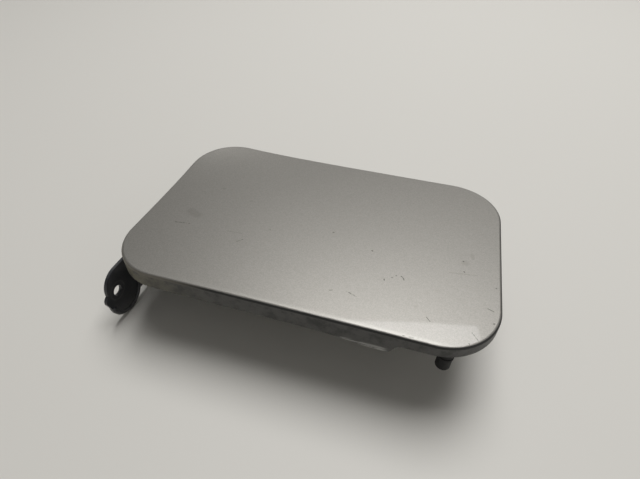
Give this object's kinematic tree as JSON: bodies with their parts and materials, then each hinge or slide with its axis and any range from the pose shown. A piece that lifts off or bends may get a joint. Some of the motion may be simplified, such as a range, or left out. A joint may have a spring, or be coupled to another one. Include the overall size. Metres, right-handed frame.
{
  "type": "fuel filler flap",
  "caption": "Hinged outer fuel filler flap of a car: painted steel skin with turned-down flange, reinforcement, bolted hinge base, latch striker and rubber buffers.",
  "frame": {"origin": "on the surface the flap stands on, under the middle of its footprint", "axes": "+X from the hinge to the latch side, +Y towards the far side, +Z out of the painted face"},
  "size_m": [0.205, 0.131, 0.0474],
  "materials": {
    "silver_paint": "gloss metallic",
    "inner_paint": "satin",
    "black_paint": "satin",
    "zinc": "zinc plated",
    "nylon": "plain",
    "black_rubber": "matt"
  },
  "bodies": {
    "base": {"hinge_base": "black_paint", "pin_bush_front": "nylon", "pin_bush_rear": "nylon"},
    "flap": {"outer_panel": "silver_paint", "inner_panel": "inner_paint", "hinge_arm": "black_paint", "arm_rivets": "zinc", "hinge_pin": "zinc", "pin_clip": "zinc", "friction_washers": "zinc", "latch_striker": "black_paint", "striker_rivets": "zinc", "buffer_front": "black_rubber", "buffer_rear": "black_rubber", "buffer_studs": "zinc"}
  },
  "joints": [
    {"name": "flap_hinge", "type": "hinge", "parent": "base", "child": "flap", "pos_m": [-0.0965, 0, 0.024], "axis": [0, -1, 0], "range_deg": [0, 95]}
  ]
}
